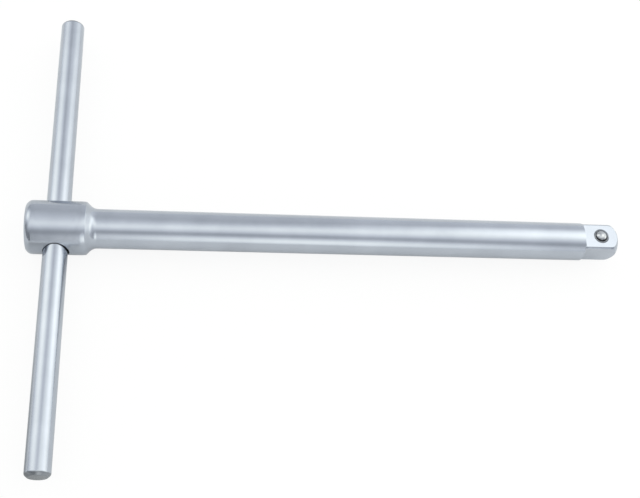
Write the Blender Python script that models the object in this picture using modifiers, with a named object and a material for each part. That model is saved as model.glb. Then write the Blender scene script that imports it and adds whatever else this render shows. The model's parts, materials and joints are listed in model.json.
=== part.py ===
"""A sliding T-handle for half-inch square-drive sockets.

A long round shank ends in a thicker hub at the rear and a milled square at the front.
A plain cross bar slides through the hub, held where it is put by a sprung ball behind it.
A second sprung ball in the square holds a socket on.
"""

import math

import bmesh
import bpy

MM = 0.001

# Shank: one forging, turned about the tool's axis. Lengths run from the cross bar's axis.
REACH = 253.7 * MM
SHANK_DIAMETER = 17.3 * MM
HUB_DIAMETER = 23.5 * MM
HUB_REAR = 12.8 * MM
HUB_FRONT = 12.45 * MM
HUB_REAR_CHAMFER = 1.5 * MM
HUB_FRONT_ROUND = 0.5 * MM
NECK_ANGLE = math.radians(45.0)
NECK_FILLET = 4.0 * MM

# Drive square, milled into the front of the shank.
DRIVE_SQUARE = 12.7 * MM
DRIVE_LENGTH = 16.2 * MM
DRIVE_END_CHAMFER = 2.5 * MM
DRIVE_ROOT_FILLET = 0.8 * MM

# Socket-retaining ball and its spring, in a blind pocket in the square's upper flat.
BALL_DIAMETER = 6.35 * MM
BALL_SETBACK = 7.8 * MM
BALL_STAND = 1.5 * MM
BALL_CLEARANCE = 0.15 * MM
BALL_LIP_GAP = 0.08 * MM
BALL_LIP_DEPTH = 0.6 * MM
BALL_POCKET_DEPTH = 9.6 * MM
STAKE_LAND = 0.15 * MM
STAKE_WIDTH = 0.65 * MM
STAKE_DEPTH = 0.25 * MM
BALL_SPRING_WIRE = 0.6 * MM
BALL_SPRING_DIAMETER = 4.4 * MM
BALL_SPRING_PITCH = 1.15 * MM

# Cross bar, a plain round rod chamfered at both ends.
BAR_DIAMETER = 10.6 * MM
BAR_LENGTH = 219.0 * MM
BAR_CHAMFER = 1.25 * MM
BAR_CLEARANCE = 0.15 * MM

# Friction ball behind the bar, its spring and the plug that closes their bore at the hub's rear.
DETENT_BALL_DIAMETER = 3.5 * MM
DETENT_BALL_CLEARANCE = 0.15 * MM
DETENT_SPRING_WIRE = 0.4 * MM
DETENT_SPRING_DIAMETER = 2.5 * MM
DETENT_SPRING_LENGTH = 2.2 * MM
DETENT_SPRING_PITCH = 0.9 * MM
PLUG_DIAMETER = 6.0 * MM
PLUG_CHAMFER = 0.3 * MM
PLUG_RECESS = 0.15 * MM
PLUG_CLEARANCE = 0.05 * MM

# Gap left between pieces that bear on each other, and how far a cutter runs past its cut.
SEAT_GAP = 0.05 * MM
OVERRUN = 2.0 * MM

TURNED_STEPS = 72
BORE_STEPS = 48
BALL_MERIDIANS = 24
BALL_PARALLELS = 16
ARC_STEPS = 6
COIL_POINTS = 10
SMOOTH_ANGLE = math.radians(30.0)
WELD = 0.0005 * MM

shank_radius = SHANK_DIAMETER / 2
hub_radius = HUB_DIAMETER / 2
bar_radius = BAR_DIAMETER / 2
ball_radius = BALL_DIAMETER / 2
detent_radius = DETENT_BALL_DIAMETER / 2
half_square = DRIVE_SQUARE / 2


def clear_scene():
    """Remove every object that the file starts with."""
    for obj in list(bpy.data.objects):
        bpy.data.objects.remove(obj, do_unlink=True)


def new_collection(name):
    """A collection of this name under the scene's own."""
    collection = bpy.data.collections.new(name)
    bpy.context.scene.collection.children.link(collection)
    return collection


def new_material(name, colour, roughness, metallic):
    """A Principled BSDF material from a linear colour."""
    material = bpy.data.materials.new(name)
    material.use_nodes = True
    shader = material.node_tree.nodes["Principled BSDF"]
    shader.inputs["Base Color"].default_value = (*colour, 1.0)
    shader.inputs["Roughness"].default_value = roughness
    shader.inputs["Metallic"].default_value = metallic
    return material


def place(name, mesh, collection, parent, location=(0.0, 0.0, 0.0), rotation=(0.0, 0.0, 0.0)):
    """Put a mesh into a collection as a named object under its parent."""
    obj = bpy.data.objects.new(name, mesh)
    collection.objects.link(obj)
    obj.parent = parent
    obj.location = location
    obj.rotation_euler = rotation
    return obj


def turned(name, profile, steps, collection, parent, location, rotation):
    """A solid of revolution: radius and height points, top to bottom, turned about local Z."""
    mesh = bpy.data.meshes.new(name)
    points = [(radius, 0.0, height) for radius, height in profile]
    edges = [(index, index + 1) for index in range(len(points) - 1)]
    mesh.from_pydata(points, edges, [])
    obj = place(name, mesh, collection, parent, location, rotation)
    screw = obj.modifiers.new("Turn", "SCREW")
    screw.axis = "Z"
    screw.angle = math.tau
    screw.steps = steps
    screw.render_steps = steps
    screw.use_merge_vertices = True
    screw.merge_threshold = WELD
    return obj


def ball(name, radius, collection, parent, location):
    """A steel ball with its origin at its centre."""
    mesh = bpy.data.meshes.new(name)
    bm = bmesh.new()
    bmesh.ops.create_uvsphere(
        bm, u_segments=BALL_MERIDIANS, v_segments=BALL_PARALLELS, radius=radius
    )
    bm.to_mesh(mesh)
    bm.free()
    return place(name, mesh, collection, parent, location)


def plain_mesh(obj):
    """The object's shape with its modifiers or curve settings worked out."""
    graph = bpy.context.evaluated_depsgraph_get()
    mesh = bpy.data.meshes.new_from_object(obj.evaluated_get(graph))
    bm = bmesh.new()
    bm.from_mesh(mesh)
    bmesh.ops.remove_doubles(bm, verts=bm.verts, dist=WELD)
    bmesh.ops.recalc_face_normals(bm, faces=bm.faces)
    bm.to_mesh(mesh)
    bm.free()
    return mesh


def slab(name, outline, half_width, collection, parent, location, rotation):
    """A flat outline drawn in local XY and thickened both ways along Z."""
    curve = bpy.data.curves.new(name, "CURVE")
    curve.dimensions = "2D"
    curve.fill_mode = "BOTH"
    curve.extrude = half_width
    spline = curve.splines.new("POLY")
    spline.points.add(len(outline) - 1)
    for point, (x, y) in zip(spline.points, outline):
        point.co = (x, y, 0.0, 1.0)
    spline.use_cyclic_u = True
    drawn = place(name + "_outline", curve, collection, parent)
    mesh = plain_mesh(drawn)
    bpy.data.objects.remove(drawn)
    return place(name, mesh, collection, parent, location, rotation)


def coil(name, coil_diameter, wire, length, pitch, collection, parent, location, rotation):
    """An open compression spring standing on local Z = 0, one unbroken round wire."""
    height = length - wire
    turns = height / pitch
    count = max(3, round(turns * COIL_POINTS) + 1)
    points = []
    for index in range(count):
        share = index / (count - 1)
        angle = math.tau * turns * share
        x = coil_diameter / 2 * math.cos(angle)
        y = coil_diameter / 2 * math.sin(angle)
        points.append((x, y, wire / 2 + height * share))
    half_turn = COIL_POINTS // 2
    gaps = [math.dist(a, b) - wire for i, a in enumerate(points) for b in points[i + half_turn:]]
    if gaps:
        print(f"{name}: {turns:.2f} turns, least gap to itself {min(gaps) / MM:.2f} mm")
    curve = bpy.data.curves.new(name, "CURVE")
    curve.dimensions = "3D"
    curve.bevel_depth = wire / 2
    curve.bevel_resolution = 1
    curve.use_fill_caps = True
    spline = curve.splines.new("POLY")
    spline.points.add(count - 1)
    for point, place_on_wire in zip(spline.points, points):
        point.co = (*place_on_wire, 1.0)
    drawn = place(name + "_path", curve, collection, parent)
    mesh = plain_mesh(drawn)
    bpy.data.objects.remove(drawn)
    return place(name, mesh, collection, parent, location, rotation)


def cut(obj, cutter):
    """Take the cutter's shape out of the object."""
    boolean = obj.modifiers.new(cutter.name, "BOOLEAN")
    boolean.operation = "DIFFERENCE"
    boolean.solver = "EXACT"
    boolean.object = cutter
    cutter.display_type = "WIRE"
    cutter.hide_render = True


def finish(obj, material):
    """Settle the modifiers into the mesh, shade it smooth with its edges sharp, give it its material."""
    if obj.modifiers:
        mesh = plain_mesh(obj)
        obj.modifiers.clear()
        obj.data = mesh
    obj.data.materials.clear()
    obj.data.materials.append(material)
    obj.data.shade_smooth()
    obj.data.set_sharp_from_angle(angle=SMOOTH_ANGLE)


def arc(centre_radius, centre_height, radius, start, end):
    """Radius and height points of a circular arc in the profile plane, from one angle to another."""
    angles = [start + (end - start) * step / ARC_STEPS for step in range(ARC_STEPS + 1)]
    return [
        (centre_radius + radius * math.cos(angle), centre_height + radius * math.sin(angle))
        for angle in angles
    ]


def neck_profile():
    """The step from the shank up to the hub: a hollow fillet, a cone and a rounded corner."""
    rise = hub_radius - shank_radius
    fillet = min(NECK_FILLET, rise / (1.0 - math.cos(NECK_ANGLE)))
    fillet_rise = fillet * (1.0 - math.cos(NECK_ANGLE))
    cone_run = (rise - fillet_rise) / math.tan(NECK_ANGLE)
    fillet_end = HUB_FRONT + cone_run + fillet * math.sin(NECK_ANGLE)
    hollow = arc(shank_radius + fillet, fillet_end, fillet, math.pi, math.pi + NECK_ANGLE)
    setback = HUB_FRONT_ROUND * math.tan(NECK_ANGLE / 2)
    corner = arc(
        hub_radius - HUB_FRONT_ROUND, HUB_FRONT - setback, HUB_FRONT_ROUND, NECK_ANGLE, 0.0
    )
    return hollow + corner


def shank_profile():
    """The whole forging from the drive's end face down to the hub's rear face."""
    front = [
        (0.0, REACH),
        (shank_radius - DRIVE_END_CHAMFER, REACH),
        (shank_radius, REACH - DRIVE_END_CHAMFER),
    ]
    rear = [
        (hub_radius, HUB_REAR_CHAMFER - HUB_REAR),
        (hub_radius - HUB_REAR_CHAMFER, -HUB_REAR),
        (0.0, -HUB_REAR),
    ]
    return front + neck_profile() + rear


def flat_outline():
    """What the milling cutter takes off above one flat, rounded where it leaves the shoulder's root."""
    root = REACH - DRIVE_LENGTH
    end = REACH + OVERRUN
    top = shank_radius + OVERRUN
    corner = arc(
        root + DRIVE_ROOT_FILLET,
        half_square + DRIVE_ROOT_FILLET,
        DRIVE_ROOT_FILLET,
        1.5 * math.pi,
        math.pi,
    )
    return [(end, half_square)] + corner + [(root, top), (end, top)]


def ball_pocket_profile():
    """The blind pocket under the upper flat, and the ring groove that stakes its lip over the ball."""
    sunk = ball_radius - BALL_STAND
    mouth = math.sqrt(ball_radius**2 - sunk**2) + BALL_LIP_GAP
    pocket = ball_radius + BALL_CLEARANCE
    groove_inner = mouth + STAKE_LAND
    groove_outer = groove_inner + STAKE_WIDTH
    return [
        (0.0, OVERRUN),
        (groove_outer, OVERRUN),
        (groove_outer, 0.0),
        (groove_inner + STAKE_WIDTH / 2, -STAKE_DEPTH),
        (groove_inner, 0.0),
        (groove_inner, OVERRUN / 2),
        (mouth, OVERRUN / 2),
        (mouth, 0.0),
        (pocket, -BALL_LIP_DEPTH),
        (pocket, -BALL_POCKET_DEPTH),
        (0.0, -BALL_POCKET_DEPTH),
    ]


def coil_seat(sphere_radius, coil_diameter, wire):
    """How far from a ball's centre the near side of a coil lies when it bears on the ball."""
    reach = sphere_radius + wire / 2 + SEAT_GAP
    return math.sqrt(reach**2 - (coil_diameter / 2) ** 2) - wire / 2


clear_scene()
parts = new_collection("sliding_t_handle")
cutters = new_collection("sliding_t_handle_cutters")

chrome = new_material("satin_chrome_shank", (0.56, 0.59, 0.63), 0.30, 1.0)
bar_chrome = new_material("satin_chrome_bar", (0.58, 0.61, 0.64), 0.26, 1.0)
ball_steel = new_material("polished_ball_steel", (0.60, 0.61, 0.62), 0.10, 1.0)
detent_steel = new_material("detent_ball_steel", (0.58, 0.59, 0.60), 0.15, 1.0)
ball_spring_steel = new_material("drive_spring_steel", (0.30, 0.30, 0.31), 0.35, 1.0)
detent_spring_steel = new_material("detent_spring_steel", (0.30, 0.30, 0.31), 0.38, 1.0)
plug_steel = new_material("plug_steel", (0.50, 0.52, 0.55), 0.34, 1.0)

# The part stands over the middle of its own length, with the hub's lowest line at Z = 0.
hub_centre = bpy.data.objects.new("hub_centre", None)
parts.objects.link(hub_centre)
hub_centre.location = (HUB_REAR - (HUB_REAR + REACH) / 2, 0.0, hub_radius)

ALONG_FRONT = (0.0, math.pi / 2, 0.0)
ALONG_REAR = (0.0, -math.pi / 2, 0.0)
ALONG_BAR = (-math.pi / 2, 0.0, 0.0)
UPRIGHT = (0.0, 0.0, 0.0)
AT_HUB = (0.0, 0.0, 0.0)

shank = turned(
    "shank", shank_profile(), TURNED_STEPS, parts, hub_centre, AT_HUB, ALONG_FRONT
)

bore_radius = bar_radius + BAR_CLEARANCE
bore_reach = hub_radius + OVERRUN
bar_bore = turned(
    "bar_bore",
    [(0.0, bore_reach), (bore_radius, bore_reach), (bore_radius, -bore_reach), (0.0, -bore_reach)],
    BORE_STEPS, cutters, hub_centre, AT_HUB, ALONG_BAR,
)

ball_x = REACH - BALL_SETBACK
ball_z = half_square + BALL_STAND - ball_radius
ball_pocket = turned(
    "ball_pocket", ball_pocket_profile(), BORE_STEPS, cutters, hub_centre,
    (ball_x, 0.0, half_square), UPRIGHT,
)

# The friction ball's chain, measured rearward from the cross bar's axis.
detent_x = bar_radius + SEAT_GAP + detent_radius
detent_coil_front = detent_x + coil_seat(detent_radius, DETENT_SPRING_DIAMETER, DETENT_SPRING_WIRE)
plug_front = detent_coil_front + DETENT_SPRING_LENGTH + SEAT_GAP
plug_rear = HUB_REAR - PLUG_RECESS
plug_seat = plug_front - SEAT_GAP
plug_bore = PLUG_DIAMETER / 2 + PLUG_CLEARANCE
detent_bore_radius = detent_radius + DETENT_BALL_CLEARANCE
detent_bore = turned(
    "detent_bore",
    [
        (0.0, HUB_REAR + OVERRUN),
        (plug_bore, HUB_REAR + OVERRUN),
        (plug_bore, plug_seat),
        (detent_bore_radius, plug_seat),
        (detent_bore_radius, 0.0),
        (0.0, 0.0),
    ],
    BORE_STEPS, cutters, hub_centre, AT_HUB, ALONG_REAR,
)

for index in range(4):
    flat = slab(
        f"drive_flat_{index + 1}", flat_outline(), shank_radius + OVERRUN, cutters, hub_centre,
        AT_HUB, (index * math.pi / 2, 0.0, 0.0),
    )
    cut(shank, flat)
for cutter in (bar_bore, ball_pocket, detent_bore):
    cut(shank, cutter)

half_bar = BAR_LENGTH / 2
cross_bar = turned(
    "cross_bar",
    [
        (0.0, half_bar),
        (bar_radius - BAR_CHAMFER, half_bar),
        (bar_radius, half_bar - BAR_CHAMFER),
        (bar_radius, BAR_CHAMFER - half_bar),
        (bar_radius - BAR_CHAMFER, -half_bar),
        (0.0, -half_bar),
    ],
    BORE_STEPS, parts, hub_centre, AT_HUB, ALONG_BAR,
)

drive_ball = ball("drive_ball", ball_radius, parts, hub_centre, (ball_x, 0.0, ball_z))

pocket_floor = half_square - BALL_POCKET_DEPTH
spring_top = ball_z - coil_seat(ball_radius, BALL_SPRING_DIAMETER, BALL_SPRING_WIRE)
spring_foot = pocket_floor + SEAT_GAP
drive_ball_spring = coil(
    "drive_ball_spring", BALL_SPRING_DIAMETER, BALL_SPRING_WIRE, spring_top - spring_foot,
    BALL_SPRING_PITCH, parts, hub_centre, (ball_x, 0.0, spring_foot), UPRIGHT,
)

bar_detent_ball = ball("bar_detent_ball", detent_radius, parts, hub_centre, (-detent_x, 0.0, 0.0))

bar_detent_spring = coil(
    "bar_detent_spring", DETENT_SPRING_DIAMETER, DETENT_SPRING_WIRE, DETENT_SPRING_LENGTH,
    DETENT_SPRING_PITCH, parts, hub_centre, (-detent_coil_front, 0.0, 0.0), ALONG_REAR,
)

plug_radius = PLUG_DIAMETER / 2
hub_plug = turned(
    "hub_plug",
    [
        (0.0, plug_rear),
        (plug_radius - PLUG_CHAMFER, plug_rear),
        (plug_radius, plug_rear - PLUG_CHAMFER),
        (plug_radius, plug_front),
        (0.0, plug_front),
    ],
    BORE_STEPS, parts, hub_centre, AT_HUB, ALONG_REAR,
)

finish(shank, chrome)
finish(cross_bar, bar_chrome)
finish(drive_ball, ball_steel)
finish(drive_ball_spring, ball_spring_steel)
finish(bar_detent_ball, detent_steel)
finish(bar_detent_spring, detent_spring_steel)
finish(hub_plug, plug_steel)
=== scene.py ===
# %% [markdown]
# # A sliding T-handle in satin chrome
#
# The tool is a long chromed shank with a hub at one end and a square for sockets at the other. A plain
# bar slides through the hub to turn it. This lesson dresses the solid model of the tool: each piece
# gets a finer surface, worked out with numpy, and each surface gets the finish of the real metal.

# %% Load the solid model
import json
import math

import bmesh
import bpy
import numpy as np
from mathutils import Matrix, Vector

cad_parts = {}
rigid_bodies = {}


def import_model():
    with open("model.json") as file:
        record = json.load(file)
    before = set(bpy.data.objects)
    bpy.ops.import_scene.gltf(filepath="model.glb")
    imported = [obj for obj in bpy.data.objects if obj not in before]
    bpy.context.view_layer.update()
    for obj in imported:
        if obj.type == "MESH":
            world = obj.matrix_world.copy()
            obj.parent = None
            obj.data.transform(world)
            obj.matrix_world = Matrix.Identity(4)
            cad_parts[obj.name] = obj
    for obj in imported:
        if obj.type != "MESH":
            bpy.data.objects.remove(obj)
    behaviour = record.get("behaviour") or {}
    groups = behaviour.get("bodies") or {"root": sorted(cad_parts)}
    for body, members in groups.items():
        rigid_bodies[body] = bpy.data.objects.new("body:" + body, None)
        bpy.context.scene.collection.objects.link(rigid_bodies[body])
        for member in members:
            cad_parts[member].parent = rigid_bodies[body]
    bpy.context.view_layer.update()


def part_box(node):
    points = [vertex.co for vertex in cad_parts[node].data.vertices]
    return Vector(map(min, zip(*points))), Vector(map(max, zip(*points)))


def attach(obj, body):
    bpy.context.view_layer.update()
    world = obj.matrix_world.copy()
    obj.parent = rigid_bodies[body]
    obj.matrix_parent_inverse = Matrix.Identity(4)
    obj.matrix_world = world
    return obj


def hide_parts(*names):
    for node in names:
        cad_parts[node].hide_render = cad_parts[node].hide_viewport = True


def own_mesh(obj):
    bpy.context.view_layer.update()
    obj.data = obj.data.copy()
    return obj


MM = 0.001  # a millimetre in metres, the unit of the solid model

for leftover in list(bpy.data.objects):
    bpy.data.objects.remove(leftover)
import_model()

# %% [markdown]
# ## Where the sizes come from
#
# The solid model already holds the sizes, so whatever a bounding box can tell is read from it. Typing
# those numbers again would work too, but then the two models could drift apart. Every shape below is
# worked out in millimetres from the middle of the hub, where the bar's axis crosses the shank's, with
# X toward the square, Y along the bar and Z up.

# %% Sizes read from the solids
def box_mm(node):
    """The lowest and the highest corner of a solid, in millimetres."""
    return np.array(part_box(node)) / MM


hub_centre = box_mm("cross_bar").mean(axis=0)
bar_half, bar_radius = (box_mm("cross_bar") - hub_centre)[1, 1:]
shank_box = box_mm("shank") - hub_centre
reach = shank_box[1, 0]
hub_rear = -shank_box[0, 0]
hub_radius = shank_box[1, 2]
ball_box = box_mm("drive_ball") - hub_centre
ball_centre = ball_box.mean(axis=0)
ball_radius = (ball_box[1] - ball_box[0])[2] / 2
plug_box = box_mm("hub_plug") - hub_centre
plug_radius = plug_box[1, 2]
print(f"bar {2 * bar_radius:.2f} mm thick, hub {2 * hub_radius:.2f}, ball {2 * ball_radius:.2f}")
print(f"shank from {-hub_rear:.2f} to {reach:.2f} mm along X")

# %% [markdown]
# ## Grids, seams and soft corners
#
# A mesh can be modelled by hand, cut with Booleans, or worked out. Here each surface is a grid of
# points given by a formula, because a formula keeps reflections smooth, and polished metal shows every
# ripple of its mesh. A piece is a set of such patches whose borders share points. Welding the borders
# makes one closed skin, and the printed count of open edges proves it.

# %% Patches and pieces
WELD = 0.0015


def patch(points, hole=None):
    """A grid of points and the faces between its neighbours, with the last column joined to the first.
    hole is a pair of slices of faces that are left out."""
    rows, columns = points.shape[:2]
    index = np.arange(rows * columns).reshape(rows, columns)
    index = np.concatenate([index, index[:, :1]], axis=1)
    faces = np.stack([index[:-1, :-1], index[:-1, 1:], index[1:, 1:], index[1:, :-1]], axis=-1)
    keep = np.ones(faces.shape[:2], bool)
    if hole is not None:
        keep[hole] = False
    return points.reshape(-1, 3), faces[keep]


def weld(mesh):
    """Merge the points that patches share, turn all faces outward and count what stays open."""
    skin = bmesh.new()
    skin.from_mesh(mesh)
    bmesh.ops.remove_doubles(skin, verts=skin.verts, dist=WELD * MM)
    bmesh.ops.recalc_face_normals(skin, faces=skin.faces)
    open_edges = sum(not edge.is_manifold for edge in skin.edges)
    triangles = sum(len(face.verts) - 2 for face in skin.faces)
    skin.to_mesh(mesh)
    skin.free()
    return triangles, open_edges


def make_piece(name, patches, body, node):
    """Join patches into one welded mesh that rides on a body and stands for one of its solids."""
    starts = np.cumsum([0] + [len(points) for points, _ in patches])
    points = np.concatenate([points for points, _ in patches])
    faces = []
    for start, (_, corners) in zip(starts, patches):
        faces += (corners + start).tolist()
    mesh = bpy.data.meshes.new(name)
    mesh.from_pydata(((points + hub_centre) * MM).tolist(), [], faces)
    triangles, open_edges = weld(mesh)
    mesh.shade_smooth()
    shown = bpy.data.objects.new(name, mesh)
    bpy.context.scene.collection.objects.link(shown)
    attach(shown, body)
    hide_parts(node)
    print(f"{name}: {triangles} triangles, {open_edges} open edges")
    return shown


# %% Profiles with soft corners
ARC_STEPS = 7
HOLD = 0.05


def unit(vectors):
    """Vectors at length one."""
    return vectors / np.linalg.norm(vectors, axis=-1, keepdims=True)


def soft_profile(corners):
    """Points of a line through corners (along, radius, rounding). Each inner corner becomes the arc of
    its rounding that touches both sides, with one more point just outside each end of the arc, so that
    smooth shading stays inside the arc and the long sides stay straight."""
    spots, rounding = np.split(np.array(corners, float), [2], axis=1)
    inner, rounding = spots[1:-1], rounding[1:-1]
    sides = np.diff(spots, axis=0)
    back, on = unit(-sides[:-1]), unit(sides[1:])
    half = np.arccos(np.sum(back * on, axis=1, keepdims=True)) / 2
    setback = rounding / np.tan(half)
    spare = np.linalg.norm(sides, axis=1, keepdims=True)
    spare[1:] -= setback
    spare[:-1] -= setback
    hold = np.minimum(HOLD, spare / 3)
    inward, across = unit(back + on), unit(on - back)
    sweep = np.linspace(-1.0, 1.0, ARC_STEPS + 1)[:, None, None] * (math.pi / 2 - half)
    arcs = inner + inward * rounding / np.sin(half)
    arcs = arcs + rounding * (np.sin(sweep) * across - np.cos(sweep) * inward)
    before = inner + back * (setback + hold[:-1])
    after = inner + on * (setback + hold[1:])
    softened = np.concatenate([before[None], arcs, after[None]]).swapaxes(0, 1)
    return np.concatenate([spots[:1], softened.reshape(-1, 2), spots[-1:]])


def turn(profile, angles):
    """A profile of (along, radius) carried round the X axis: x, radius cos a, radius sin a."""
    along, radius = profile[:, :1], profile[:, 1:]
    rings = np.broadcast_arrays(along, radius * np.cos(angles), radius * np.sin(angles))
    return np.stack(rings, axis=-1)


# %% [markdown]
# ## Columns round the shank
#
# All rings of the shank share one list of angles, so that neighbouring patches meet point to point. The
# square has narrow corner lands at 45 degrees, under a millimetre wide, and the angles crowd together
# there: in each eighth of a turn the angle is 45 degrees times one less a power of what is left.

# %% Angles that crowd toward the square's corners
EIGHTH_STEPS = 44
CROWDING = 1.8

share_left = 1.0 - np.arange(EIGHTH_STEPS) / EIGHTH_STEPS
eighth = math.pi / 4 * (1.0 - share_left**CROWDING)
quarter = np.concatenate([eighth, [math.pi / 4], math.pi / 2 - eighth[:0:-1]])
columns = np.concatenate([quarter + (step - 1) * math.pi / 2 for step in range(4)])
half_count = len(columns) // 2
closest = math.degrees(np.diff(columns).min())
print(f"{len(columns)} columns, {closest:.2f} degrees apart at the corners")

# %% [markdown]
# ## The hub's rear
#
# The rear is a turned face with a broad chamfer, and a plug bore in its middle. Blender's Spin could
# turn it from a drawn line. Here the line is a list of corners, so that each corner has a rounding of
# its own. It starts at the bore's seat, comes out along the bore's wall, runs over the face and ends on
# the hub's cylinder. Polishing has rounded the chamfer's outer edge far more than its inner one.

# %% Rear face, chamfer and plug bore
HUB_REAR_CHAMFER = 1.5
HUB_REAR_ROUND = 3.0
HUB_FACE_ROUND = 0.6
PLUG_MOUTH_ROUND = 0.15
PLUG_CLEARANCE = 0.05
SEAT_GAP = 0.05
HUB_BAND = 9.0

plug_seat = -plug_box[1, 0] - SEAT_GAP
plug_bore = plug_radius + PLUG_CLEARANCE
rear = turn(
    soft_profile([
        (-plug_seat, plug_bore, 0.0),
        (-hub_rear, plug_bore, PLUG_MOUTH_ROUND),
        (-hub_rear, hub_radius - HUB_REAR_CHAMFER, HUB_FACE_ROUND),
        (HUB_REAR_CHAMFER - hub_rear, hub_radius, HUB_REAR_ROUND),
        (-HUB_BAND, hub_radius, 0.0),
    ]),
    columns,
)
shank_patches = [patch(rear)]
print(f"rear: {rear.shape[0]} rings")

# %% [markdown]
# ## The bar's hole through the hub
#
# A hole in a cylinder breaks the grid. A Boolean would cut it with a knife-sharp rim that no tool has,
# so the grid leaves a window open here, and rays fill it: each ray runs on the cylinder from a point of
# the window's border to the hole's rim. The rim is then rolled over with a quarter circle into the
# bore, wider toward the shank, where the turning bar has worn it.

# %% Rays from a window's border to a round rim
RAY_ROWS = 15
RAY_CROWDING = 1.6


def window_border(across, along):
    """Points once round a window: up its far side, back along the top, down, out along the bottom."""
    inner = across[1:-1]
    sides = [
        (np.full(len(along), across[-1]), along),
        (inner[::-1], np.full(len(inner), along[-1])),
        (np.full(len(along), across[0]), along[::-1]),
        (inner, np.full(len(inner), along[0])),
    ]
    return np.concatenate([np.column_stack(side) for side in sides])


def bearing(border):
    """The angle of each border point about the window's middle."""
    return np.unwrap(np.arctan2(border[:, 1], border[:, 0]))


def rays(border, rim_radius, unroll):
    """Points on straight rays from a round rim to a border, closer together near the rim. The rim is a
    circle seen square on, and unroll turns a height on that circle to a length on the surface."""
    angle = bearing(border)
    rim = np.column_stack([rim_radius * np.cos(angle), unroll(rim_radius * np.sin(angle))])
    share = np.linspace(0.0, 1.0, RAY_ROWS)[:, None, None] ** RAY_CROWDING
    return rim + (border - rim) * share


# %% The two windows of the hub, mirror images of each other
BAR_CLEARANCE = 0.15
RIM_ROLL = 0.12
RIM_WEAR = 0.55
WORN_SIDE = math.radians(17.0)
SEAM_STEPS = 16

bore_radius = bar_radius + BAR_CLEARANCE
band = np.linspace(-HUB_BAND, HUB_BAND, SEAM_STEPS + 1)
hub_border = window_border(band, hub_radius * columns[: half_count + 1])
bore_angle = bearing(hub_border)
rim_roll = RIM_ROLL + RIM_WEAR * np.maximum(np.cos(bore_angle - WORN_SIDE), 0.0) ** 2
hub_rays = rays(
    hub_border, bore_radius + rim_roll, lambda height: hub_radius * np.arcsin(height / hub_radius)
)
hub_turn = hub_rays[..., 1] / hub_radius
hub_window = np.stack(
    [hub_rays[..., 0], hub_radius * np.cos(hub_turn), hub_radius * np.sin(hub_turn)], axis=-1
)
print(f"hub window: {hub_window.shape[1]} rays of {RAY_ROWS} points")

# %% The rolled rim and the bore
ROLL_STEPS = 9
BORE_MIDDLE = 4.0
BORE_END_ROWS = 5

roll = np.linspace(0.0, math.pi / 2, ROLL_STEPS)[:, None]
roll_radius = bore_radius + rim_roll * (1.0 - np.sin(roll))
roll_x = roll_radius * np.cos(bore_angle)
roll_z = roll_radius * np.sin(bore_angle)
roll_y = np.sqrt(hub_radius**2 - roll_z**2) - rim_roll * (1.0 - np.cos(roll))
rim = np.stack([roll_x, roll_y, roll_z], axis=-1)

inward = np.linspace(0.0, 1.0, BORE_END_ROWS)[:, None]
end_y = roll_y[-1] + (BORE_MIDDLE - roll_y[-1]) * inward
bore_end = np.stack(np.broadcast_arrays(roll_x[-1], end_y, roll_z[-1]), axis=-1)
mirror = np.array([1.0, -1.0, 1.0])
for side in (hub_window, rim, bore_end):
    shank_patches += [patch(side), patch(side * mirror)]
least_roll, most_roll = rim_roll.min(), rim_roll.max()
print(f"bore: {2 * bore_radius:.2f} mm, rim rolled over {least_roll:.2f} to {most_roll:.2f} mm")

# %% [markdown]
# ## The drilling for the friction ball
#
# A sprung ball behind the bar keeps it from sliding by itself. Its drilling runs from the plug's seat
# to the bar's bore, and the bore's wall gets a window and rays of its own. At the seat two rings with
# different counts of points meet, so they are stitched: each edge of one ring makes a triangle with
# the point of the other ring that lies nearest its middle.

# %% A stitch between rings of different counts
def stitch(ring_a, ring_b):
    """Triangles between two rings round the X axis, in order of the angles of their edges' middles."""
    sizes, middles, points = [], [], []
    for ring in (ring_a, ring_b):
        angle = np.arctan2(ring[:, 2], ring[:, 1])
        order = np.argsort(angle)
        angle = angle[order]
        sizes.append(len(ring))
        points.append(ring[order])
        middles.append((angle + np.append(angle[1:], angle[0] + math.tau)) / 2)
    count_a, count_b = sizes
    edge_a, edge_b = np.arange(count_a), np.arange(count_b)
    tip_a = np.searchsorted(middles[1], middles[0]) % count_b
    tip_b = np.searchsorted(middles[0], middles[1]) % count_a
    from_a = np.column_stack([edge_a, (edge_a + 1) % count_a, count_a + tip_a])
    from_b = np.column_stack([count_a + edge_b, count_a + (edge_b + 1) % count_b, tip_b])
    return np.concatenate(points), np.concatenate([from_a, from_b])


# %% The drilling, its window in the bore and its seat
DRILLING_RADIUS = 1.9
DRILLING_WINDOW = math.radians(31.0)
BORE_MIDDLE_ROWS = 9

middle_y = np.linspace(-BORE_MIDDLE, BORE_MIDDLE, BORE_MIDDLE_ROWS)
in_window = np.flatnonzero(np.abs(bore_angle - math.pi) < DRILLING_WINDOW)
first, last = in_window[[0, -1]]
wall = bore_radius * np.stack([np.cos(bore_angle), np.sin(bore_angle)], axis=-1)
bore_wall = np.stack(np.broadcast_arrays(wall[:, 0], middle_y[:, None], wall[:, 1]), axis=-1)
drilling_border = window_border(middle_y, bore_radius * (bore_angle[first : last + 1] - math.pi))
drilling_rays = rays(
    drilling_border, DRILLING_RADIUS, lambda height: bore_radius * np.arcsin(height / bore_radius)
)
wall_turn = drilling_rays[..., 1] / bore_radius
drilling_window = np.stack(
    [-bore_radius * np.cos(wall_turn), drilling_rays[..., 0], -bore_radius * np.sin(wall_turn)], axis=-1
)
drilling_end = drilling_window[0] * [0.0, 1.0, 1.0] - [plug_seat, 0.0, 0.0]
shank_patches += [
    patch(bore_wall, hole=(slice(None), slice(first, last))),
    patch(drilling_window),
    patch(np.stack([drilling_window[0], drilling_end])),
    stitch(drilling_end, rear[0]),
]
print(f"drilling: {2 * DRILLING_RADIUS} mm, {len(drilling_end)} points stitched to {len(columns)}")

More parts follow.
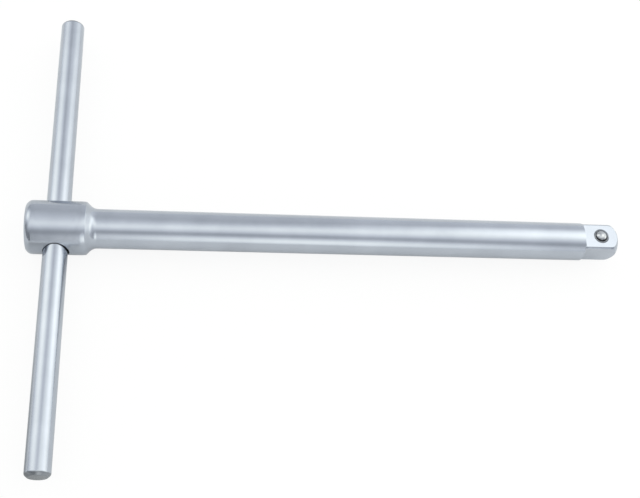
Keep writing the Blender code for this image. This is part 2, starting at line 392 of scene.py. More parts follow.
# %% [markdown]
# ## The neck and the long shank
#
# The hub's last millimetres are eased by the polishing wheel, which gives them a glint of their own.
# Then the hub runs down to the shank over a 45 degree cone and a hollow fillet. These could be separate
# pieces, but the real ones are turned in one go, so one profile turned about X makes all of it, up to
# where the square begins.

# %% Neck and shank
SHANK_RADIUS = 8.65
HUB_FRONT = 12.45
EASE_LENGTH = 1.4
EASE_DROP = 0.17
EASE_ROUND = 14.0
HUB_FRONT_ROUND = 0.4
NECK_FILLET = 4.4
DRIVE_LENGTH = 16.2
SHOULDER_LEAD = 1.0
SHANK_ROWS = 12

neck_foot = HUB_FRONT + hub_radius - SHANK_RADIUS
root = reach - DRIVE_LENGTH
neck = soft_profile([
    (HUB_BAND, hub_radius, 0.0),
    (HUB_FRONT - EASE_LENGTH, hub_radius, EASE_ROUND),
    (HUB_FRONT + EASE_DROP, hub_radius - EASE_DROP, HUB_FRONT_ROUND),
    (neck_foot, SHANK_RADIUS, NECK_FILLET),
    (root - SHOULDER_LEAD, SHANK_RADIUS, 0.0),
])
straight = np.linspace(neck[-2], neck[-1], SHANK_ROWS)
shank_patches.append(patch(turn(np.concatenate([neck[:-2], straight]), columns)))
print(f"shank: {2 * SHANK_RADIUS} mm for {root - neck[-2, 0]:.0f} mm")

# %% [markdown]
# ## The square
#
# The square is milled from the round shank, so in each ring a point lies on the circle or on a flat,
# whichever is nearer the axis. A plain minimum would give razor edges. A soft minimum rounds the crease
# over a chosen width, as the polishing wheel does before plating.

# %% Formulas for the square
DRIVE_HALF = 6.35
CORNER_RADIUS = 8.45
END_CHAMFER = 2.5
ROOT_FILLET = 0.8
SHOULDER_DRAFT = 0.12
EDGE_SOFTNESS = 0.14
SHOULDER_SOFTNESS = 0.35
END_SOFTNESS = 1.2


def soft_min(one, other, width):
    """The smaller of two lengths, with the crease where they cross rounded over a width."""
    lean = np.clip(0.5 + 0.5 * (other - one) / width, 0.0, 1.0)
    return other + (one - other) * lean - width * lean * (1.0 - lean)


def flat_distance(x):
    """From the axis to a flat: down a steep shoulder, round the root fillet, then level."""
    shoulder = SHANK_RADIUS - DRIVE_HALF - ROOT_FILLET
    short_of = ROOT_FILLET - np.clip(x - root, 0.0, ROOT_FILLET)
    fillet = ROOT_FILLET - np.sqrt(ROOT_FILLET**2 - short_of**2)
    return DRIVE_HALF + fillet + shoulder * np.maximum(root - x, 0.0) / SHOULDER_DRAFT


def turned_radius(x):
    """From the axis to the turned shape: the shank, a hair less at the square's corners, then down the
    end's chamfer with a soft crease."""
    level = np.interp(x, [root - SHOULDER_DRAFT, root + ROOT_FILLET], [SHANK_RADIUS, CORNER_RADIUS])
    return soft_min(level, SHANK_RADIUS - END_CHAMFER + reach - x, END_SOFTNESS)


def square_rings(x, turned):
    """Rings of the square: in each, the soft minimum of a turned radius and the four flats."""
    flats = flat_distance(x)[:, None] / np.maximum(abs(np.cos(columns)), abs(np.sin(columns)))
    softness = np.interp(x, [root, root + ROOT_FILLET], [SHOULDER_SOFTNESS, EDGE_SOFTNESS])
    radius = soft_min(turned[:, None], flats, softness[:, None])
    rings = np.broadcast_arrays(x[:, None], radius * np.cos(columns), radius * np.sin(columns))
    return np.stack(rings, axis=-1)


# %% Rings of the square, with a window for the ball
NOSE = 0.4
NOSE_ROUND = 0.25
SHOULDER_SPAN = 1.7  # how far the shoulder's close rings go, in drafts
SHOULDER_ROWS = 15
FILLET_ROWS = 10
LEVEL_ROWS = 5
WINDOW_ROWS = 15
WINDOW_COLUMNS = 25
END_ROWS = 18

ball_x = ball_centre[0]
window_half = reach - END_CHAMFER - ball_x
shoulder_x = root - SHOULDER_DRAFT * np.linspace(SHOULDER_SPAN, 0.0, SHOULDER_ROWS)
fillet_x = root + ROOT_FILLET * (1.0 - np.cos(np.linspace(0.0, math.pi / 2, FILLET_ROWS)))
level_x = np.linspace(root + ROOT_FILLET, ball_x - window_half, LEVEL_ROWS)
window_x = np.linspace(ball_x - window_half, ball_x + window_half, WINDOW_ROWS)
end_x = np.linspace(ball_x + window_half, reach - NOSE, END_ROWS)
square_x = np.concatenate([
    [root - SHOULDER_LEAD], shoulder_x, fillet_x[1:], level_x[1:], window_x[1:], end_x[1:]
])
nose_x, nose_turned = soft_profile([
    (reach - NOSE, turned_radius(reach - NOSE), 0.0),
    (reach, SHANK_RADIUS - END_CHAMFER, NOSE_ROUND),
    (reach, 0.0, 0.0),
])[1:].T
square = square_rings(
    np.append(square_x, nose_x), np.append(turned_radius(square_x), nose_turned)
)
window_first = np.abs(square_x - window_x[0]).argmin()
window_last = np.abs(square_x - window_x[-1]).argmin()
left, right = half_count - WINDOW_COLUMNS, half_count + WINDOW_COLUMNS
shank_patches.append(patch(square, hole=(slice(window_first, window_last), slice(left, right))))
print(f"square: {2 * DRIVE_HALF} mm across flats, {len(square)} rings")

# %% [markdown]
# ## The ball's pocket
#
# The ball is dropped on its spring in a drilled pocket, and a ring punch then pushes the pocket's edge
# over it. The punch leaves a round groove in the flat, which shows as a dark ring about the ball. The
# groove, the lip and the pocket are one profile turned about an upright axis through the ball.

# %% Staked groove, lip and pocket
LIP_GAP = 0.08
LIP_DEPTH = 0.6
LIP_ROUND = 0.02
POCKET_CLEARANCE = 0.15
POCKET_DEPTH = 9.6
POCKET_WALL_ROUND = 0.1
POCKET_FLOOR_ROUND = 0.4
STAKE_LAND = 0.15
STAKE_WIDTH = 0.65
STAKE_DEPTH = 0.25
STAKE_MARGIN = 0.2
STAKE_OUTER_ROUND = 0.08
STAKE_FLOOR_ROUND = 0.06
STAKE_INNER_ROUND = 0.04

mouth = math.sqrt(ball_radius**2 - (DRIVE_HALF - ball_centre[2]) ** 2) + LIP_GAP
pocket_radius = ball_radius + POCKET_CLEARANCE
groove_inner = mouth + STAKE_LAND
groove_outer = groove_inner + STAKE_WIDTH
pocket_rim = groove_outer + STAKE_MARGIN
flat_y = square[window_first, left : right + 1, 1][::-1]
pocket_border = window_border(window_x - ball_x, flat_y)
pocket_rays = rays(pocket_border, pocket_rim, lambda height: height)
pocket_window = np.stack(
    [pocket_rays[..., 0] + ball_x, pocket_rays[..., 1], np.full(pocket_rays.shape[:2], DRIVE_HALF)],
    axis=-1,
)
pocket = turn(
    soft_profile([
        (0.0, pocket_rim, 0.0),
        (0.0, groove_outer, STAKE_OUTER_ROUND),
        (-STAKE_DEPTH, groove_inner + STAKE_WIDTH / 2, STAKE_FLOOR_ROUND),
        (0.0, groove_inner, STAKE_INNER_ROUND),
        (0.0, mouth, LIP_ROUND),
        (-LIP_DEPTH, pocket_radius, POCKET_WALL_ROUND),
        (-POCKET_DEPTH, pocket_radius, POCKET_FLOOR_ROUND),
        (-POCKET_DEPTH, 0.0, 0.0),
    ]),
    bearing(pocket_border),
)[..., [1, 2, 0]] + [ball_x, 0.0, DRIVE_HALF]
shank_patches += [patch(pocket_window), patch(pocket)]
shank = make_piece("shank_forging", shank_patches, "shank", "shank")

# %% [markdown]
# ## The bar, the balls and the plug
#
# The bar is a ground rod with turned chamfers, and the plug is turned too and pressed into the hub's
# rear. Blender's own cylinder would show sharp edges, so both are turned from soft profiles. The balls
# are bearing balls: grids of longitude and latitude with their poles welded.

# %% The sliding bar
ROUND_COLUMNS = 192
BAR_CHAMFER = 1.25
BAR_END_ROUND = 0.9
BAR_SIDE_ROUND = 1.2

round_angles = np.arange(ROUND_COLUMNS) * math.tau / ROUND_COLUMNS
bar = turn(
    soft_profile([
        (-bar_half, 0.0, 0.0),
        (-bar_half, bar_radius - BAR_CHAMFER, BAR_END_ROUND),
        (BAR_CHAMFER - bar_half, bar_radius, BAR_SIDE_ROUND),
        (bar_half - BAR_CHAMFER, bar_radius, BAR_SIDE_ROUND),
        (bar_half, bar_radius - BAR_CHAMFER, BAR_END_ROUND),
        (bar_half, 0.0, 0.0),
    ]),
    round_angles,
)[..., [1, 0, 2]]
cross_bar = make_piece("cross_bar_rod", [patch(bar)], "cross_bar", "cross_bar")

# %% The two balls
BALL_ROWS = 49
BALL_COLUMNS = 96

latitude = np.linspace(-math.pi / 2, math.pi / 2, BALL_ROWS)
longitude = np.arange(BALL_COLUMNS) * math.tau / BALL_COLUMNS
meridian = np.column_stack([np.sin(latitude), np.cos(latitude)])
unit_ball = turn(meridian, longitude)[..., [1, 2, 0]]
friction_box = box_mm("bar_detent_ball") - hub_centre
friction_centre = friction_box.mean(axis=0)
friction_radius = (friction_box[1] - friction_box[0])[2] / 2
drive_ball = make_piece(
    "socket_ball", [patch(ball_centre + ball_radius * unit_ball)],
    "drive_ball", "drive_ball",
)
friction_ball = make_piece(
    "friction_ball", [patch(friction_centre + friction_radius * unit_ball)],
    "bar_detent_ball", "bar_detent_ball",
)

# %% The rear plug
PLUG_CHAMFER = 0.3
PLUG_ROUND = 0.1

plug_rear, plug_front = plug_box[:, 0]
plug = turn(
    soft_profile([
        (plug_rear, 0.0, 0.0),
        (plug_rear, plug_radius - PLUG_CHAMFER, PLUG_ROUND),
        (plug_rear + PLUG_CHAMFER, plug_radius, PLUG_ROUND),
        (plug_front, plug_radius, PLUG_ROUND),
        (plug_front, 0.0, 0.0),
    ]),
    round_angles,
)
rear_plug = make_piece("rear_plug", [patch(plug)], "shank", "hub_plug")

# %% [markdown]
# ## The springs
#
# Neither spring shows, but each is there: a round wire carried along a helix. A curve with a round
# bevel would do, but a grid lets the two ends close on a point. The wire's section is drawn in the plane
# of the spring's axis and the direction out from it, which is close enough to square with so shallow a
# helix.

# %% Wire along a helix
WIRE_COLUMNS = 16
TURN_ROWS = 40


def coil_spring(length, diameter, wire, pitch):
    """A wire wound upward round Z: the path climbs one pitch a turn, and each section is a circle."""
    climb = length - wire
    turns = climb / pitch
    share = np.linspace(0.0, 1.0, round(turns * TURN_ROWS) + 1)
    share = np.concatenate([share[:1], share, share[-1:]])
    section = np.full(len(share), wire / 2)
    section[[0, -1]] = 0.0
    angle = (math.tau * turns * share)[:, None]
    around = np.arange(WIRE_COLUMNS) * math.tau / WIRE_COLUMNS
    out = diameter / 2 + section[:, None] * np.cos(around)
    height = wire / 2 + (climb * share)[:, None] + section[:, None] * np.sin(around)
    return np.stack([out * np.cos(angle), out * np.sin(angle), height], axis=-1)


# %% Both springs where the solids have them
SOCKET_SPRING = {"diameter": 4.4, "wire": 0.6, "pitch": 1.15}
FRICTION_SPRING = {"diameter": 2.5, "wire": 0.4, "pitch": 0.9}

socket_box = box_mm("drive_ball_spring") - hub_centre
socket_length = socket_box[1, 2] - socket_box[0, 2]
socket_foot = np.array([ball_x, 0.0, socket_box[0, 2]])
socket_spring = make_piece(
    "socket_ball_spring", [patch(coil_spring(socket_length, **SOCKET_SPRING) + socket_foot)],
    "shank", "drive_ball_spring",
)
friction_spring_box = box_mm("bar_detent_spring") - hub_centre
friction_length = friction_spring_box[1, 0] - friction_spring_box[0, 0]
friction_foot = np.array([friction_spring_box[0, 0], 0.0, 0.0])
friction_coil = coil_spring(friction_length, **FRICTION_SPRING)[..., [2, 0, 1]]
friction_spring = make_piece(
    "friction_ball_spring", [patch(friction_coil + friction_foot)],
    "shank", "bar_detent_spring",
)

# %% [markdown]
# ## Springs with meshes of their own
#
# When a ball is pushed in, a real spring gets shorter by the same amount, or the ball would cut into
# the coils. Here each spring only gets a mesh of its own, and nothing shortens it.

# %% Each spring gets a mesh of its own
def shorten(spring):
    """Give a spring a mesh of its own; nothing shortens it."""
    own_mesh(spring)


shorten(socket_spring)
shorten(friction_spring)

# %% [markdown]
# ## One way to add nodes
#
# Every material below is a small tree of nodes. One function adds any node: settings are its own
# attributes, and each socket gets either a value or another node's output. Colours are written as the
# hex values that a paint program shows, and one function turns them to the linear values of the shader.

# %% Nodes and colours
def linear(hex_colour):
    """A hex colour as the shader's linear red, green, blue and alpha, by the curve that sRGB sets."""
    srgb = np.array([int(hex_colour[i : i + 2], 16) for i in (1, 3, 5)]) / 255.0
    light = np.where(srgb <= 0.04045, srgb / 12.92, ((srgb + 0.055) / 1.055) ** 2.4)
    return (*light.tolist(), 1.0)


def add(tree, kind, sockets, **settings):
    """Add a node: settings set its attributes, sockets get a value or the output that feeds them."""
    node = tree.nodes.new(kind)
    for attribute, value in settings.items():
        setattr(node, attribute, value)
    for socket, value in sockets.items():
        if isinstance(value, bpy.types.NodeSocket):
            tree.links.new(value, node.inputs[socket])
        else:
            node.inputs[socket].default_value = value
    return node


def new_metal(name, roughness):
    """A metal with its shader, and Object coordinates in millimetres from the middle of the hub."""
    material = bpy.data.materials.new(name)
    material.use_nodes = True
    tree = material.node_tree
    shader = tree.nodes["Principled BSDF"]
    shader.inputs["Metallic"].default_value = 1.0
    shader.inputs["Roughness"].default_value = roughness
    place = add(tree, "ShaderNodeTexCoord", {})
    mapping = add(tree, "ShaderNodeMapping", {
        "Vector": place.outputs["Object"],
        "Location": tuple(-hub_centre),
        "Scale": (1 / MM, 1 / MM, 1 / MM),
    })
    return material, tree, shader, mapping.outputs["Vector"]


# %% [markdown]
# ## Satin chrome
#
# The shank is turned, polished and then plated with nickel and a thin coat of chromium. The plate
# follows the polish: faint lines run round the axis, and the gloss is a little cloudy where the wheel
# bit more. A picture of brushed metal could be wrapped round, but it would show a seam. The lines
# follow the lathe's feed, so they are a one-way noise of the distance along the axis plus a share of
# the distance from it, which gives rings on the end faces as well.

# %% The chrome's tree of nodes
FEED_SLOPE = 0.37
LINE_DETAIL = 3.0
LINE_GRAIN = 0.6
LINE_HAZE = 0.35
LINE_STRENGTH = 0.5
LINE_DEPTH = 0.014
CLOUD_DETAIL = 4.0
CLOUD_GRAIN = 0.55
CLOUD_THIN = 0.3
CLOUD_DENSE = 0.7


def satin_chrome(name, dark, light, across_axis, line_mm, cloud_mm, gloss):
    """Chrome over turned steel. across_axis is 1 for the two directions square to the turning axis and
    0 for the axis. gloss is the least and the most roughness."""
    material, tree, shader, place = new_metal(name, sum(gloss) / 2)
    off_axis = add(tree, "ShaderNodeVectorMath", {0: place, 1: across_axis}, operation="MULTIPLY")
    from_axis = add(tree, "ShaderNodeVectorMath", {0: off_axis.outputs[0]}, operation="LENGTH")
    along = tuple(1.0 - value for value in across_axis)
    along_axis = add(tree, "ShaderNodeVectorMath", {0: place, 1: along}, operation="DOT_PRODUCT")
    feed = add(tree, "ShaderNodeMath", {
        0: from_axis.outputs["Value"], 1: FEED_SLOPE, 2: along_axis.outputs["Value"],
    }, operation="MULTIPLY_ADD")
    lines = add(tree, "ShaderNodeTexNoise", {
        "W": feed.outputs[0], "Scale": 1.0 / line_mm, "Detail": LINE_DETAIL, "Roughness": LINE_GRAIN,
    }, noise_dimensions="1D")
    clouds = add(tree, "ShaderNodeTexNoise", {
        "Vector": place, "Scale": 1.0 / cloud_mm, "Detail": CLOUD_DETAIL, "Roughness": CLOUD_GRAIN,
    })
    mottle = add(tree, "ShaderNodeMapRange", {
        "Value": clouds.outputs["Fac"], "From Min": CLOUD_THIN, "From Max": CLOUD_DENSE,
    })
    colour = add(tree, "ShaderNodeMix", {
        "Factor": mottle.outputs["Result"], "A": linear(dark), "B": linear(light),
    }, data_type="RGBA")
    haze = add(tree, "ShaderNodeMath", {
        0: lines.outputs["Fac"], 1: LINE_HAZE, 2: mottle.outputs["Result"],
    }, operation="MULTIPLY_ADD")
    rough = add(tree, "ShaderNodeMapRange", {
        "Value": haze.outputs[0], "From Max": 1.0 + LINE_HAZE, "To Min": gloss[0], "To Max": gloss[1],
    })
    bump = add(tree, "ShaderNodeBump", {
        "Height": lines.outputs["Fac"], "Strength": LINE_STRENGTH, "Distance": LINE_DEPTH * MM,
    })
    tree.links.new(colour.outputs["Result"], shader.inputs["Base Color"])
    tree.links.new(rough.outputs["Result"], shader.inputs["Roughness"])
    tree.links.new(bump.outputs["Normal"], shader.inputs["Normal"])
    return material


# %% Chrome on the shank, the bar and the plug
# Real polishing lines lie a few hundredths of a millimetre apart, too fine to show in the render, so
# line_mm draws them several times as coarse.
ROUND_X = (0.0, 1.0, 1.0)
ROUND_Y = (1.0, 0.0, 1.0)

shank.data.materials.append(satin_chrome(
    "satin_chrome_turned", "#a7adb7", "#b0b6c0", ROUND_X,
    line_mm=0.35, cloud_mm=16.0, gloss=(0.18, 0.22),
))
cross_bar.data.materials.append(satin_chrome(
    "satin_chrome_ground", "#a9afb9", "#b2b8c2", ROUND_Y,
    line_mm=0.22, cloud_mm=14.0, gloss=(0.18, 0.22),
))
rear_plug.data.materials.append(satin_chrome(
    "satin_chrome_pressed", "#a2a7af", "#b4b9c1", ROUND_X,
    line_mm=0.3, cloud_mm=2.5, gloss=(0.24, 0.36),
))
print("chrome on:", shank.name, cross_bar.name, rear_plug.name)

# %% [markdown]
# ## Ball steel and spring wire
#
# Bearing balls are lapped to a mirror, with only a breath of smudge. Spring wire is drawn and oiled: it
# is darker, and dull and bright in patches. Each could have a tree of its own, but they differ only in
# colour, gloss and the size of the patches, so one tree does for both.

# %% The steel's tree of nodes
SMUDGE_DETAIL = 3.0
SMUDGE_GRAIN = 0.5
SMUDGE_THIN = 0.3
SMUDGE_DENSE = 0.75


def lapped_steel(name, dark, light, smudge_mm, gloss):
    """Polished steel: a bright mirror whose gloss a faint smudge takes down here and there."""
    material, tree, shader, place = new_metal(name, gloss[0])
    smudge = add(tree, "ShaderNodeTexNoise", {
        "Vector": place, "Scale": 1.0 / smudge_mm, "Detail": SMUDGE_DETAIL, "Roughness": SMUDGE_GRAIN,
    })
    colour = add(tree, "ShaderNodeMix", {
        "Factor": smudge.outputs["Fac"], "A": linear(dark), "B": linear(light),
    }, data_type="RGBA")
    rough = add(tree, "ShaderNodeMapRange", {
        "Value": smudge.outputs["Fac"], "From Min": SMUDGE_THIN, "From Max": SMUDGE_DENSE,
        "To Min": gloss[0], "To Max": gloss[1],
    })
    tree.links.new(colour.outputs["Result"], shader.inputs["Base Color"])
    tree.links.new(rough.outputs["Result"], shader.inputs["Roughness"])
    return material


# %% Steel on the balls and the springs
drive_ball.data.materials.append(
    lapped_steel("lapped_ball_steel", "#a8abaf", "#b8bbbf", smudge_mm=1.6, gloss=(0.03, 0.08))
)
friction_ball.data.materials.append(
    lapped_steel("lapped_friction_ball", "#b2b5ba", "#c2c5c9", smudge_mm=1.2, gloss=(0.07, 0.14))
)
socket_spring.data.materials.append(
    lapped_steel("oiled_spring_wire", "#5f6063", "#85868a", smudge_mm=0.5, gloss=(0.28, 0.45))
)
friction_spring.data.materials.append(
    lapped_steel("oiled_fine_wire", "#5a5b5e", "#808185", smudge_mm=0.35, gloss=(0.3, 0.48))
)
print("steel on:", drive_ball.name, friction_ball.name, socket_spring.name, friction_spring.name)

# %% [markdown]
# ## Painted shade
#
# A few places are painted darker than the rest, as painted shade: the groove, the lip and the
# pocket round the ball, the ball where it meets the lip, with a painted dark reflection low on it,
# and the bar's hole. The bar's ends are painted darker too, as painted shade for the shaded floor
# that they reflect, and they are rougher. Such marks could be painted by hand, but here each is laid
# over a finish that is already there: it mixes in its own colour and roughness by a share that
# depends only on a distance from a spot or from an axis.

# %% Marks laid over a finish
def lay_over(material, value, clear, full, colour, roughness):
    """Mix a colour and a roughness into a finish: none where a value is clear, all where it is full."""
    tree = material.node_tree
    shader = tree.nodes["Principled BSDF"]
    share = add(tree, "ShaderNodeMapRange", {
        "Value": value, "From Min": clear, "From Max": full,
    }).outputs["Result"]
    marks = (("Base Color", "RGBA", linear(colour)), ("Roughness", "FLOAT", roughness))
    for socket, kind, mark in marks:
        finish = shader.inputs[socket].links[0].from_socket
        mixed = add(tree, "ShaderNodeMix", {"Factor": share, "A": finish, "B": mark}, data_type=kind)
        tree.links.new(mixed.outputs["Result"], shader.inputs[socket])


def distance(material, spot, across=(1.0, 1.0, 1.0)):
    """How far a point of the surface is from a spot, in millimetres from the middle of the hub. Where
    across leaves a direction out with a 0, it is how far from a line in that direction."""
    tree = material.node_tree
    place = tree.nodes["Mapping"].outputs["Vector"]
    off_line = add(tree, "ShaderNodeVectorMath", {0: place, 1: across}, operation="MULTIPLY")
    away = add(tree, "ShaderNodeVectorMath", {
        0: off_line.outputs[0], 1: tuple(spot),
    }, operation="DISTANCE")
    return away.outputs["Value"]


# %% Painted shade round the ball, in the hole and on the bar's ends
GROOVE_PAINTED_SHADE = "#7c7f84"
BLACK_PAINTED_SHADE = "#2b2c2f"
SHADE_MARK_ROUGHNESS = 0.35
SHADE_MARK_FADE = 0.25
BALL_SHADE_OFFSET = (-0.15, 0.3, 0.0)
BALL_SHADE_WIDTH = 0.75
HOLE_SHADE_WIDTH = 0.35
HOLE_SHADE_CENTRE = (0.3, 0.0, 0.08)
END_PAINTED_SHADE = "#8b8f95"
DULL_ROUGHNESS = 0.36
END_SHADE_AND_DULL_FADE = 0.3

hub_middle = (0.0, 0.0, 0.0)
ball_top = ball_centre + [0.0, 0.0, ball_radius]
stand = ball_top[2] - DRIVE_HALF
groove_reach = math.hypot(groove_outer, stand)
lip_reach = math.hypot(mouth - LIP_GAP, stand)
shank_finish, ball_finish = shank.data.materials[0], drive_ball.data.materials[0]
# Painted shade: the groove, the lip and the pocket round the ball are painted darker, within a distance
# of the ball's top.
lay_over(
    shank_finish, distance(shank_finish, ball_top), groove_reach, groove_reach - SHADE_MARK_FADE,
    GROOVE_PAINTED_SHADE, SHADE_MARK_ROUGHNESS,
)
# Painted shade: the bar's hole and its rims are painted black near the bore's wall, most toward the
# shank.
lay_over(
    shank_finish, distance(shank_finish, HOLE_SHADE_CENTRE, ROUND_Y), bore_radius + HOLE_SHADE_WIDTH,
    bore_radius + HOLE_SHADE_WIDTH - SHADE_MARK_FADE, BLACK_PAINTED_SHADE, SHADE_MARK_ROUGHNESS,
)
# Painted shade and a painted dark reflection: the ball is painted black round where it meets the lip,
# widest toward -Y.
lay_over(
    ball_finish, distance(ball_finish, ball_top + BALL_SHADE_OFFSET), lip_reach - BALL_SHADE_WIDTH,
    lip_reach - SHADE_MARK_FADE, BLACK_PAINTED_SHADE, SHADE_MARK_ROUGHNESS,
)
# Painted shade: the bar's ends are painted darker, for the shaded floor that they reflect, and they are
# made rougher.
bar_finish = cross_bar.data.materials[0]
end_shade_and_dull_from = bar_half - BAR_CHAMFER - END_SHADE_AND_DULL_FADE
lay_over(
    bar_finish, distance(bar_finish, hub_middle), end_shade_and_dull_from, end_shade_and_dull_from + END_SHADE_AND_DULL_FADE, END_PAINTED_SHADE, DULL_ROUGHNESS
)
# The print gives where the painted shade round the ball ends and where the bar's painted shade and
# dullness begin.
print(f"oil within {groove_outer:.1f} mm of the ball's axis, dull ends beyond {end_shade_and_dull_from:.1f} mm")

# %% [markdown]
# ## Floor
#
# A wide pale floor is the background. The camera sees it as nearly plain white, with a share of its own
# matt shading, so that the tool's shadow stays on it. The metal's reflections get little of the plain
# white and nearly all of the shading, because the dark under the tool is what makes it look laid down.
# They also show a painted shadow left of the bar: a dark patch on the floor, painted for the metal's
# reflections only, that stands in for the bar's shadow.

# %% A spot that fades to its edge
def soft_spot(tree, vector, middle, spread, level):
    """A value that falls smoothly from a level at a middle to nothing at an ellipsoid about it."""
    from_middle = add(tree, "ShaderNodeMapping", {
        "Vector": vector, "Location": middle, "Scale": spread,
    }, vector_type="TEXTURE")
    nearness = add(tree, "ShaderNodeTexGradient", {
        "Vector": from_middle.outputs["Vector"],
    }, gradient_type="SPHERICAL")
    spot = add(tree, "ShaderNodeMapRange", {
        "Value": nearness.outputs["Fac"], "To Max": level,
    }, interpolation_type="SMOOTHSTEP")
    return spot.outputs["Result"]


# %% The floor
FLOOR_HALF = 30.0

floor_mesh = bpy.data.meshes.new("floor")
floor_corners = FLOOR_HALF * np.array([(-1, -1, 0), (1, -1, 0), (1, 1, 0), (-1, 1, 0)])
floor_mesh.from_pydata(floor_corners.tolist(), [], [(0, 1, 2, 3)])
floor = bpy.data.objects.new("floor", floor_mesh)
bpy.context.scene.collection.objects.link(floor)
print(f"floor: {2 * FLOOR_HALF:.0f} m square")

# %% Pale paint that keeps the shadow
FLOOR_COLOUR = "#f2f2f1"
FLOOR_ROUGHNESS = 0.9
WHITE_SHARE = 0.9
MIRRORED_WHITE_SHARE = 0.1

floor_paint = bpy.data.materials.new("pale_floor_paint")
floor_mesh.materials.append(floor_paint)
floor_paint.use_nodes = True
floor_tree = floor_paint.node_tree
floor_shader = floor_tree.nodes["Principled BSDF"]
floor_shader.inputs["Base Color"].default_value = linear(FLOOR_COLOUR)
floor_shader.inputs["Roughness"].default_value = FLOOR_ROUGHNESS
floor_shader.inputs["Specular IOR Level"].default_value = 0.0
light_path = add(floor_tree, "ShaderNodeLightPath", {})
mirrored = add(floor_tree, "ShaderNodeMath", {
    0: light_path.outputs["Is Glossy Ray"], 1: light_path.outputs["Is Transmission Ray"],
}, operation="MAXIMUM")
mirrored_share = add(floor_tree, "ShaderNodeMath", {
    0: mirrored.outputs[0], 1: MIRRORED_WHITE_SHARE,
}, operation="MULTIPLY")
white_share = add(floor_tree, "ShaderNodeMath", {
    0: light_path.outputs["Is Camera Ray"], 1: WHITE_SHARE, 2: mirrored_share.outputs[0],
}, operation="MULTIPLY_ADD")
white = add(floor_tree, "ShaderNodeEmission", {"Color": (1.0, 1.0, 1.0, 1.0), "Strength": 1.0})
floor_mix = add(floor_tree, "ShaderNodeMixShader", {
    0: white_share.outputs[0], 1: floor_shader.outputs[0], 2: white.outputs[0],
})
print(f"floor: {WHITE_SHARE:.0%} plain white for the camera, {MIRRORED_WHITE_SHARE:.0%} in the metal")

# %% A painted shadow that only the metal shows
PAINTED_SHADOW_COLOUR = "#1c1c1d"
PAINTED_SHADOW_PLACE = (-24.0, -112.0)  # in millimetres from the middle of the hub
PAINTED_SHADOW_SPREAD = (0.048, 0.13, 1.0)  # in metres
PAINTED_SHADOW_STRENGTH = 0.45

floor_place = add(floor_tree, "ShaderNodeTexCoord", {}).outputs["Object"]
painted_shadow_middle = (*(hub_centre[:2] + PAINTED_SHADOW_PLACE) * MM, 0.0)
# Painted shadow: a dark patch on the floor left of the bar, mixed in for reflected rays only.
painted_shadow = soft_spot(floor_tree, floor_place, painted_shadow_middle, PAINTED_SHADOW_SPREAD, PAINTED_SHADOW_STRENGTH)
painted_shadow_share = add(floor_tree, "ShaderNodeMath", {
    0: mirrored.outputs[0], 1: painted_shadow,
}, operation="MULTIPLY")
painted_shadow_paint = add(floor_tree, "ShaderNodeBsdfDiffuse", {"Color": linear(PAINTED_SHADOW_COLOUR)})
with_painted_shadow = add(floor_tree, "ShaderNodeMixShader", {
    0: painted_shadow_share.outputs[0], 1: floor_mix.outputs[0], 2: painted_shadow_paint.outputs[0],
})
floor_tree.links.new(with_painted_shadow.outputs[0], floor_tree.nodes["Material Output"].inputs["Surface"])
# The print gives the place of the painted shadow of the bar.
print("dark card at, mm:", PAINTED_SHADOW_PLACE)

# %% [markdown]
# ## Light
#
# Chrome has no colour of its own to show: it shows the room. A photographer lights it with large soft
# panels, bright in the middle and fading to their edges, and the grey room between them makes the dark
# bands. Area lamps would do, but their hard edges show in the metal as hard bands. So the panels are
# painted on the world: each is an ellipsoid about a direction, and fades from its middle to its edge.
# One is a black flag, whose brightness is taken away: it keeps the hub's low side dark. The room is a
# little bluish and the panels a little warm. A brightness of 1 is that of white paper.

# %% The room and its soft panels
ROOM_LEVEL = 0.65
ROOM_TILT = (0.4, 0.3, -0.05)
ROOM_DARKEST = 0.4
# Each panel has the direction of its middle, its spread along X, Y and Z, and its brightness.
SOFT_PANELS = {
    "overhead": ((-0.15, -0.2, 0.95), (1.4, 0.7, 1.0), 1.1),
    "upper_right": ((0.4, 0.2, 0.9), (0.6, 0.65, 0.6), 0.7),
    "right": ((0.75, 0.5, 0.4), (0.4, 0.35, 0.8), 0.6),
    "low_right": ((0.95, 0.0, 0.35), (0.45, 0.6, 0.55), 1.2),
    "left": ((-0.7, 0.4, 0.6), (0.85, 0.55, 1.15), 1.55),
    "front": ((0.12, -0.95, 0.25), (0.45, 0.5, 0.8), 1.6),
    "black_flag": ((-0.2, -0.95, 0.25), (0.15, 0.5, 0.45), -0.7),
}

world = bpy.data.worlds.new("studio_room")
bpy.context.scene.world = world
world.use_nodes = True
room = world.node_tree
direction = add(room, "ShaderNodeTexCoord", {}).outputs["Generated"]
tilt = add(room, "ShaderNodeVectorMath", {0: direction, 1: ROOM_TILT}, operation="DOT_PRODUCT")
walls = add(room, "ShaderNodeMath", {0: tilt.outputs["Value"], 1: ROOM_LEVEL}, operation="ADD")
brightness = add(room, "ShaderNodeMath", {0: walls.outputs[0], 1: ROOM_DARKEST}, operation="MAXIMUM")
for middle, spread, level in SOFT_PANELS.values():
    panel = soft_spot(room, direction, unit(np.array(middle)), spread, level)
    brightness = add(room, "ShaderNodeMath", {0: brightness.outputs[0], 1: panel}, operation="ADD")
print("soft panels:", ", ".join(SOFT_PANELS))

# %% A bluish room and warm panels
ROOM_COLOUR = "#f9fcff"
PANEL_COLOUR = "#fdfdf4"
ROOM_FULL = 1.0
PANEL_FULL = 2.1

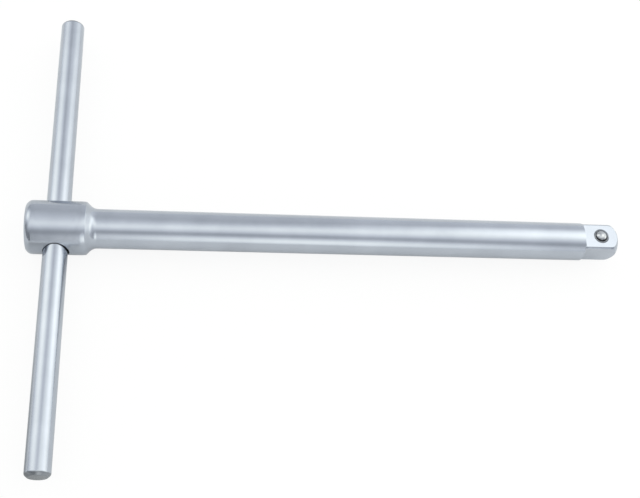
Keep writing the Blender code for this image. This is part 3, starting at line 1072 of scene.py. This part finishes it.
warmth = add(room, "ShaderNodeMapRange", {
    "Value": brightness.outputs[0], "From Min": ROOM_FULL, "From Max": PANEL_FULL,
})
room_colour = add(room, "ShaderNodeMix", {
    "Factor": warmth.outputs["Result"], "A": linear(ROOM_COLOUR), "B": linear(PANEL_COLOUR),
}, data_type="RGBA")
room_light = room.nodes["Background"]
room.links.new(room_colour.outputs["Result"], room_light.inputs["Color"])
room.links.new(brightness.outputs[0], room_light.inputs["Strength"])
print(f"room {ROOM_COLOUR} up to a brightness of {ROOM_FULL}, panels {PANEL_COLOUR} from {PANEL_FULL}")

# %% [markdown]
# ## The near lamp
#
# The square's top shines much brighter than the hub's, though both face the same way. A panel far away
# cannot do that, because it looks the same from every point of the tool. So one real lamp hangs close
# above the square's end. It gives the soft shadow too, and its face fades to the edge like the panels.

# %% The lamp
LAMP_PLACE = (0.335, 0.165, 0.415)
LAMP_WIDTH = 0.8
LAMP_DEPTH = 0.6
LAMP_BRIGHTNESS = 0.82
LAMP_COLOUR = "#fffdf2"
FACE_MIDDLE = (0.5, 0.5, 0.0)  # the face runs from 0 to 1 both ways
FACE_SPREAD = (0.5, 0.5, 1.0)

lamp_data = bpy.data.lights.new("soft_lamp", "AREA")
lamp_data.shape = "RECTANGLE"
lamp_data.size = LAMP_WIDTH
lamp_data.size_y = LAMP_DEPTH
lamp_data.energy = LAMP_BRIGHTNESS * math.pi * LAMP_WIDTH * LAMP_DEPTH
lamp_data.color = linear(LAMP_COLOUR)[:3]
lamp_data.use_nodes = True
lamp_tree = lamp_data.node_tree
lamp_face = add(lamp_tree, "ShaderNodeNewGeometry", {}).outputs["Parametric"]
lamp_glow = soft_spot(lamp_tree, lamp_face, FACE_MIDDLE, FACE_SPREAD, 1.0)
lamp_tree.links.new(lamp_glow, lamp_tree.nodes["Emission"].inputs["Strength"])
lamp = bpy.data.objects.new("soft_lamp", lamp_data)
bpy.context.scene.collection.objects.link(lamp)
lamp.location = LAMP_PLACE
lamp.rotation_euler = lamp.location.to_track_quat("Z", "Y").to_euler()
print(f"soft lamp: {LAMP_WIDTH} by {LAMP_DEPTH} m, {lamp_data.energy:.2f} W")

# %% [markdown]
# ## Camera
#
# A camera can be set by eye, but edges say more. This one stands where the edges of the shank, the hub
# and the bar in the picture meet those of the model. Its place is in millimetres from the middle of the
# hub, and its three turns are in degrees about X, Y and Z.

# %% The camera
CAMERA_PLACE = (49.90, -213.35, 414.25)
CAMERA_TURN = (26.518, -7.819, -2.294)
CAMERA_LENS = 58.82
SENSOR_WIDTH = 36.0
NEAR_CLIP = 0.01

camera_data = bpy.data.cameras.new("camera")
camera_data.sensor_width = SENSOR_WIDTH
camera_data.lens = CAMERA_LENS
camera_data.clip_start = NEAR_CLIP
camera = bpy.data.objects.new("camera", camera_data)
bpy.context.scene.collection.objects.link(camera)
camera.location = (hub_centre + CAMERA_PLACE) * MM
camera.rotation_euler = [math.radians(angle) for angle in CAMERA_TURN]
bpy.context.scene.camera = camera
bpy.context.scene.view_settings.view_transform = "Standard"
print("camera at, mm:", [round(value, 1) for value in hub_centre + CAMERA_PLACE])
